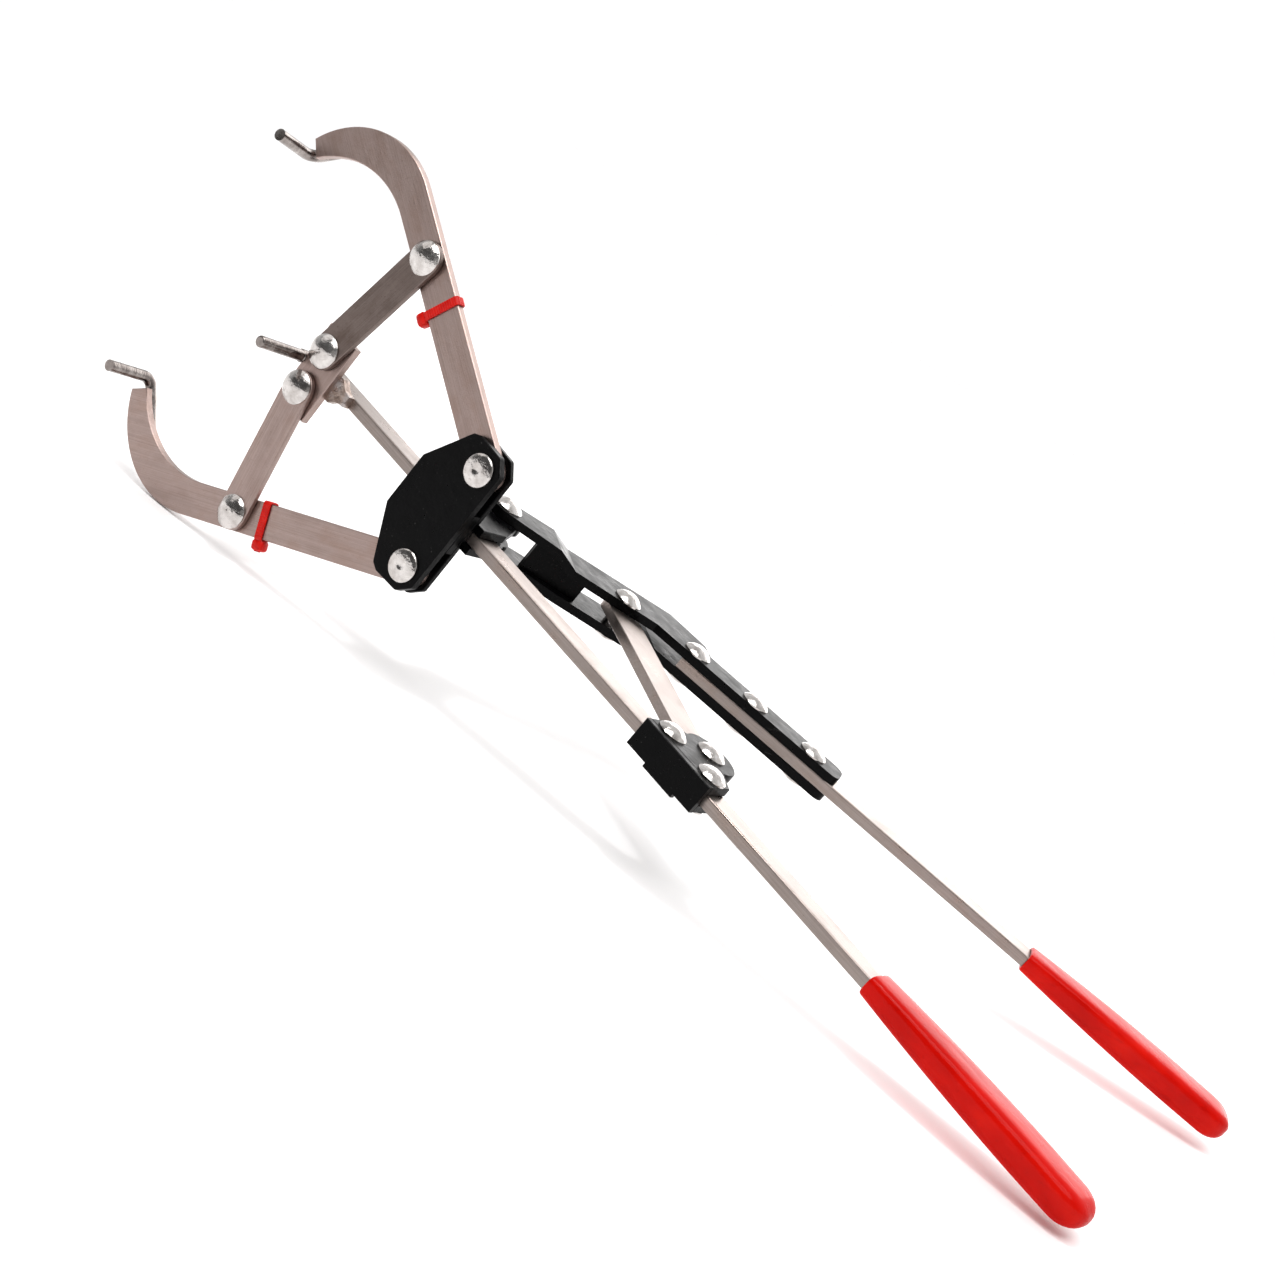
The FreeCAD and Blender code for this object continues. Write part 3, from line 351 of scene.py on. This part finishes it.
def red_vinyl():
    """Glossy dipped grip: slightly wavy skin with darker thin places."""
    paint = Paint("red_vinyl", 0, 0.26)
    paint.shader.inputs["Coat Weight"].default_value = 0.12
    paint.shader.inputs["Coat Roughness"].default_value = 0.05
    paint.shader.inputs["Specular IOR Level"].default_value = 0.03
    waves = paint.noise((0.030, 0.012, 0.012), (0, 0, 0), 3, 0.5)
    pores = paint.noise((0.0013, 0.0013, 0.0013), (0, 0, 0), 3, 0.6)
    rubs = paint.noise((0.012, 0.0012, 0.003), (10, 15, 20), 3, 0.6)
    base = paint.ramp(waves, (
        (0.30, (0.50, 0.0030, 0.0010)),
        (0.55, (0.60, 0.0045, 0.0015)),
        (0.75, (0.68, 0.0080, 0.0025)),
    ))
    worn = paint.ramp(rubs, ((0.30, (0.80, 0.62, 0.60)), (0.42, (1, 1, 1))))
    paint.wire(paint.blend(0.5, base, worn, "MULTIPLY"), "Base Color")
    paint.wire(paint.span(waves, 0.20, 0.34), "Roughness")
    relief = paint.bump(waves, 0.0008)
    paint.wire(paint.bump(pores, 0.00003, relief), "Normal")
    return paint.material


def red_nylon():
    """Moulded cable tie: translucent red with fine tool marks."""
    paint = Paint("red_nylon", 0, 0.36)
    paint.shader.inputs["Specular IOR Level"].default_value = 0.15
    paint.shader.inputs["Subsurface Weight"].default_value = 0.05
    paint.shader.inputs["Subsurface Radius"].default_value = (0.002, 0.0006, 0.0004)
    flow = paint.noise((0.004, 0.004, 0.004), (0, 0, 0), 3, 0.5)
    lines = paint.noise((0.0005, 0.004, 0.004), (0, 0, 0), 2, 0.5)
    paint.wire(paint.ramp(flow, ((0.3, (0.50, 0.005, 0.003)), (0.7, (0.66, 0.014, 0.008)))), "Base Color")
    paint.wire(paint.span(flow, 0.28, 0.45), "Roughness")
    paint.wire(paint.bump(lines, 0.0001), "Normal")
    return paint.material


BAR_COLOUR = (0.30, 0.255, 0.235)
ARM_COLOUR = (0.36, 0.275, 0.25)
DARK_COLOUR = (0.19, 0.150, 0.135)
ALONG_X = (0, 0, 0)


def paint_nodes():
    """Give every carried-over CAD node its material."""
    black = black_coat()
    rivet = polished_steel()
    rod = rod_steel()
    weld = weld_steel()
    along_lever = (0, 0, LEVER_ANGLE)
    along_toggle = (0, 0, TOGGLE_ANGLE)
    finishes = {
        "main_bar": brushed_steel("main_bar_steel", BAR_COLOUR, 0.30, ALONG_X, 0.12),
        "lever_bar": brushed_steel("lever_bar_steel", BAR_COLOUR, 0.30, along_lever, 0.12),
        "toggle_bar": brushed_steel("toggle_steel", BAR_COLOUR, 0.32, along_toggle, 0.15),
        "crossbar": brushed_steel("crossbar_steel", ARM_COLOUR, 0.34, (0, 90, 0), 0.2),
        "arm_left": brushed_steel("arm_left_steel", ARM_COLOUR, 0.34, (0, -ARM_ANGLE, 0), 0.18),
        "arm_right": brushed_steel("arm_right_steel", ARM_COLOUR, 0.34, (0, ARM_ANGLE, 0), 0.18),
        "link_left": brushed_steel("link_left_steel", DARK_COLOUR, 0.36, (0, -LINK_ANGLE, 0), 0.42),
        "link_right": brushed_steel("link_right_steel", ARM_COLOUR, 0.34, (0, LINK_ANGLE, 0), 0.2),
        "nose_weld": weld,
    }
    for name in ("centre_prong", "prong_left", "prong_right"):
        finishes[name] = rod
    for name in ("crossbar_rivets", "clamp_rivets", "toggle_rear_rivet", "toggle_front_rivet",
                 "lever_rivets", "lever_pivot_rivet", "link_rivet_left", "link_rivet_right",
                 "arm_pivot_rivets"):
        finishes[name] = rivet
    for name, node in frame["nodes"].items():
        material = finishes.get(name, black)
        node.data.materials.clear()
        node.data.materials.append(material)
    return rivet


# ------------------------------------------------------------------ pieces

def piece(name, points, faces, material, slot, body, *nodes):
    """Smooth mesh that rides on a body and stands for CAD nodes."""
    mesh = bpy.data.meshes.new(name)
    mesh.from_pydata([tuple(point) for point in points], [], faces)
    mesh.validate()
    mesh.shade_smooth()
    mesh.materials.append(material)
    thing = bpy.data.objects.new(name, mesh)
    bpy.context.collection.objects.link(thing)
    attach(thing, body)
    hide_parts(*nodes)
    return thing


def skin(rings, closed_start=False, closed_end=False):
    """Faces between equal rings of points, joined in order."""
    count = len(rings[0])
    points = [point for ring in rings for point in ring]
    faces = []
    for row in range(len(rings) - 1):
        for col in range(count):
            nxt = (col + 1) % count
            a, b = row * count, (row + 1) * count
            faces.append((a + col, a + nxt, b + nxt, b + col))
    if closed_start:
        faces.append(tuple(reversed(range(count))))
    if closed_end:
        last = (len(rings) - 1) * count
        faces.append(tuple(range(last, last + count)))
    return points, faces


def joined(parts):
    """One list of points and one of faces from several (points, faces) parts."""
    points, faces = [], []
    for part, part_faces in parts:
        offset = len(points)
        points += part
        faces += [tuple(index + offset for index in face) for face in part_faces]
    return points, faces


# grips

GRIP_LENGTH = 136 * MM
GRIP_WALL = 1.9 * MM
GRIP_FRONT = 3.2 * MM
GRIP_REAR = 4.2 * MM
GRIP_HALF_OPEN = 5.8 * MM
GRIP_HALF_FULL = 8.4 * MM
GRIP_ROUND = 13 * MM
GRIP_SIDES = 56
GRIP_STEPS = 90
GRIP_SQUARENESS = 4.0
GRIP_FULL_SHARE = 0.75
GRIP_END_TAPER = 0.12
GRIP_END_POWER = 0.9
GRIP_END_LEAST = 0.03
GRIP_MAIN_X = -0.445
GRIP_LEVER = (354.5 * MM, 37.5 * MM, 0)
LIP = 0.9 * MM
LIP_STEPS = 8


def signed_power(number, power):
    return math.copysign(abs(number) ** power, number)


def grip_ring(x, centre, deep, half):
    """Rounded-rectangle section of the grip at distance x from its open end."""
    ring = []
    for index in range(GRIP_SIDES):
        angle = 2 * math.pi * index / GRIP_SIDES
        y = centre + deep * signed_power(math.cos(angle), 2 / GRIP_SQUARENESS)
        z = half * signed_power(math.sin(angle), 2 / GRIP_SQUARENESS)
        ring.append(Vector((x, y, z)))
    return ring


def grip_section(share):
    """Centre, half depth and half thickness at a share of the length."""
    swell = min(1, share / GRIP_FULL_SHARE)
    beyond = max(0, share - GRIP_FULL_SHARE) / (1 - GRIP_FULL_SHARE)
    swell = swell * (2 - swell) * (1 - GRIP_END_TAPER * beyond)
    centre = BAR_DEEP / 2 + (GRIP_REAR - GRIP_FRONT) / 2 * swell
    deep = BAR_DEEP / 2 + GRIP_WALL + (GRIP_FRONT + GRIP_REAR) / 2 * swell
    half = GRIP_HALF_OPEN + (GRIP_HALF_FULL - GRIP_HALF_OPEN) * swell
    return centre, deep, half


def grip(name, place, angle, body, material):
    """Dipped grip with a rolled lip at the open end and a round closed end."""
    rings = []
    centre, deep, half = grip_section(0)
    for turn in range(LIP_STEPS + 1):
        around = math.pi * turn / LIP_STEPS
        out = 0.5 - 0.5 * math.cos(around)
        rings.append(grip_ring(LIP * (1 - math.sin(around)), centre,
                               BAR_DEEP / 2 + (deep - BAR_DEEP / 2) * out,
                               BAR_THICK / 2 + (half - BAR_THICK / 2) * out))
    for step in range(1, GRIP_STEPS + 1):
        x = GRIP_LENGTH * step / GRIP_STEPS
        into_end = max(0.0, (x - (GRIP_LENGTH - GRIP_ROUND)) / GRIP_ROUND)
        if into_end > 0:
            x = GRIP_LENGTH - GRIP_ROUND + GRIP_ROUND * math.sin(into_end * math.pi / 2)
        centre, deep, half = grip_section(x / GRIP_LENGTH)
        bend = math.cos(min(into_end, 0.99) * math.pi / 2)
        shrink = max(GRIP_END_LEAST, bend ** GRIP_END_POWER)
        rings.append(grip_ring(x, centre, deep * shrink, half * shrink))
    points, faces = skin(rings, closed_end=True)
    turn = Matrix.Translation(place) @ Matrix.Rotation(math.radians(angle), 4, "Z")
    return piece(name, [turn @ point for point in points], faces, material, "red_vinyl",
                 body, name.replace("_skin", ""))


def grips():
    vinyl = red_vinyl()
    grip("main_grip_skin", Vector((GRIP_MAIN_X, BAR_FACE, 0)), 180, "base", vinyl)
    turn = Matrix.Rotation(math.radians(LEVER_ANGLE), 3, "Z")
    place = LEVER_PIVOT + turn @ Vector(GRIP_LEVER)
    grip("lever_grip_skin", place, LEVER_ANGLE, "lever", vinyl)


# bracket rivets with a centre dimple

RIVET_SIDES = 72
DOME_STEPS = 18
DOME_POWER = 0.8
RIM = 0.7 * MM
POLE = 0.01 * MM
# radius, dome height, dimple radius and dimple depth
EAR_HEAD = (8.8 * MM, 3.0 * MM, 3.4 * MM, 0.7 * MM)
EAR_TAIL = (6.9 * MM, 5.2 * MM, 2.4 * MM, 0.5 * MM)


def lathe(profile, matrix):
    """Rings of a turned shape from (radius, height) pairs along local Z."""
    rings = []
    for radius, height in profile:
        ring = []
        for index in range(RIVET_SIDES):
            angle = 2 * math.pi * index / RIVET_SIDES
            ring.append(matrix @ Vector((radius * math.cos(angle), radius * math.sin(angle), height)))
        rings.append(ring)
    return rings


def dimpled_head(face, radius, dome, dimple, depth):
    """Head profile from the rim inward, with a soft round dimple in the middle."""
    profile = [(radius, face), (radius, face + RIM)]
    for step in range(1, DOME_STEPS + 1):
        angle = step / DOME_STEPS * math.pi / 2
        r = radius * math.cos(angle)
        height = face + RIM + (dome - RIM) * math.sin(angle) ** DOME_POWER
        if r < dimple:
            height -= depth * (0.5 + 0.5 * math.cos(math.pi * r / dimple))
        profile.append((max(r, POLE), height))
    return profile


def bracket_rivets(material):
    face = ARM_THICK / 2 + RUN_GAP + ARM_THICK
    rear = -(ARM_THICK / 2 + RUN_GAP + THIN_PLATE)
    parts = []
    for side in (1, -1):
        matrix = (Matrix.Translation((ARM_PIVOT[0], 0, side * ARM_PIVOT[1]))
                  @ Matrix.Rotation(math.radians(-90), 4, "X"))
        head = dimpled_head(face, *EAR_HEAD)
        tail = dimpled_head(-rear, *EAR_TAIL)
        profile = [(r, -h) for r, h in reversed(tail)]
        profile += [(RIVET_SHANK, rear), (RIVET_SHANK, face)] + head
        parts.append(skin(lathe(profile, matrix)))
    points, faces = joined(parts)
    thing = piece("bracket_rivet_heads", points, faces, material, "rivet_steel",
                  "slider", "arm_pivot_rivets")
    thing.data.set_sharp_from_angle(angle=math.radians(50))


# cable ties

TIE_WIDTH = 4.8 * MM
TIE_THICK = 1.3 * MM
TIE_HEAD = 7.5 * MM
TIE_RIBS = 1.4 * MM
TIE_STEP = 0.35 * MM
TIE_GAP = 0.1 * MM
TIE_CORNER = 0.8 * MM
TIE_CORNER_STEPS = 8
TIE_BEVEL = 0.25 * MM
TIE_RIB_HEIGHT = 0.12 * MM
TIE_HEAD_SIDES = 24
# height as a share of the head's side, and width share, from the strap outward and into the slot
TIE_HEAD_STEPS = (
    (0.0, 0.86),
    (0.12, 1.0),
    (0.45, 1.0),
    (0.62, 0.94),
    (0.72, 0.70),
    (0.74, 0.52),
    (0.66, 0.44),
)
TIE_TAIL_STEPS = 6


def rounded_loop(half_w, half_t, radius):
    """Evenly stepped points and outward directions round a strap lying on the arm."""
    samples = []
    corners = ((1, 1, 0), (-1, 1, 90), (-1, -1, 180), (1, -1, 270))
    for sign_w, sign_t, start in corners:
        centre = Vector((sign_w * (half_w - radius), sign_t * (half_t - radius)))
        for step in range(TIE_CORNER_STEPS + 1):
            angle = math.radians(start + 90 * step / TIE_CORNER_STEPS)
            out = Vector((math.cos(angle), math.sin(angle)))
            samples.append((centre + out * radius, out))
    points = []
    for index, (here, out) in enumerate(samples):
        there, next_out = samples[(index + 1) % len(samples)]
        parts = max(1, round((there - here).length / TIE_STEP))
        for part in range(parts):
            share = part / parts
            points.append((here.lerp(there, share), out.lerp(next_out, share).normalized()))
    return points


def strap_ring(centre, out, thick, width):
    """Bevelled rectangular strap section: width along the arm, thickness outward."""
    cut = TIE_BEVEL
    half = width / 2
    section = (
        (-half, cut), (-half + cut, 0), (half - cut, 0), (half, cut),
        (half, thick - cut), (half - cut, thick), (-half + cut, thick), (-half, thick - cut),
    )
    ring = []
    for along, rise in section:
        spot = centre + out * rise
        ring.append(Vector((along, spot.x, spot.y)))
    return ring


def strap_loop():
    """Ribbed strap round the arm, in the arm's own axes."""
    loop = rounded_loop(ARM_WIDTH / 2 + TIE_GAP, ARM_THICK / 2 + TIE_GAP, TIE_CORNER)
    rings = []
    travelled = 0
    for index, (centre, out) in enumerate(loop):
        travelled += (centre - loop[index - 1][0]).length if index else 0
        rib = TIE_RIB_HEIGHT * math.sin(2 * math.pi * travelled / TIE_RIBS)
        rings.append(strap_ring(centre, out, TIE_THICK * 0.85 + rib, TIE_WIDTH))
    rings.append(rings[0])
    return skin(rings)


def tie_head(edge, head_side):
    """Rounded locking head that stands out from the strap, with a sunk slot on top."""
    rings = []
    for rise, share in TIE_HEAD_STEPS:
        half = TIE_HEAD / 2 * share
        y = edge + head_side * TIE_HEAD * rise
        ring = []
        for index in range(TIE_HEAD_SIDES):
            angle = head_side * 2 * math.pi * index / TIE_HEAD_SIDES
            x = half * signed_power(math.cos(angle), 0.5)
            z = half * 0.92 * signed_power(math.sin(angle), 0.5)
            ring.append(Vector((x, y, z)))
        rings.append(ring)
    return skin(rings, closed_start=True, closed_end=True)


def tie_tail(edge, head_side, tail):
    """Cut free end that leaves the head's slot, narrowing and bending slightly."""
    rings = []
    for step in range(TIE_TAIL_STEPS + 1):
        share = step / TIE_TAIL_STEPS
        middle = Vector((edge + head_side * (TIE_HEAD * 0.5 + tail * share), tail * 0.22 * share ** 2))
        ring = strap_ring(middle, Vector((0, 1)), TIE_THICK * 0.8, TIE_WIDTH * (0.92 - 0.12 * share))
        rings.append(ring if head_side > 0 else ring[::-1])
    return skin(rings, closed_start=True, closed_end=True)


def tie(name, side, tie_x, head_side, tail, body, material):
    """Cable tie on an arm: side 1 is the left arm, head_side the edge its head is on."""
    edge = head_side * (ARM_WIDTH / 2 + TIE_THICK * 0.6)
    points, faces = joined([strap_loop(), tie_head(edge, head_side), tie_tail(edge, head_side, tail)])
    along = math.radians(ARM_ANGLE)
    place = Vector((ARM_PIVOT[0] + math.cos(along) * tie_x, 0,
                    side * (ARM_PIVOT[1] + math.sin(along) * tie_x)))
    matrix = (Matrix.Translation(place) @ Matrix.Rotation(-side * along, 4, "Y")
              @ Matrix.Rotation(side * math.pi / 2, 4, "X"))
    thing = piece(name + "_strap", [matrix @ point for point in points], faces, material,
                  "red_nylon", body, name)
    thing.data.set_sharp_from_angle(angle=math.radians(40))


def ties():
    nylon = red_nylon()
    tie("tie_left", 1, 90 * MM, -1, 2.6 * MM, "arm_left", nylon)
    tie("tie_right", -1, 98 * MM, 1, 2.2 * MM, "arm_right", nylon)


camera()
lights()
world()
floor()
rivet_metal = paint_nodes()
grips()
bracket_rivets(rivet_metal)
ties()
bpy.context.scene.view_settings.view_transform = "Standard"
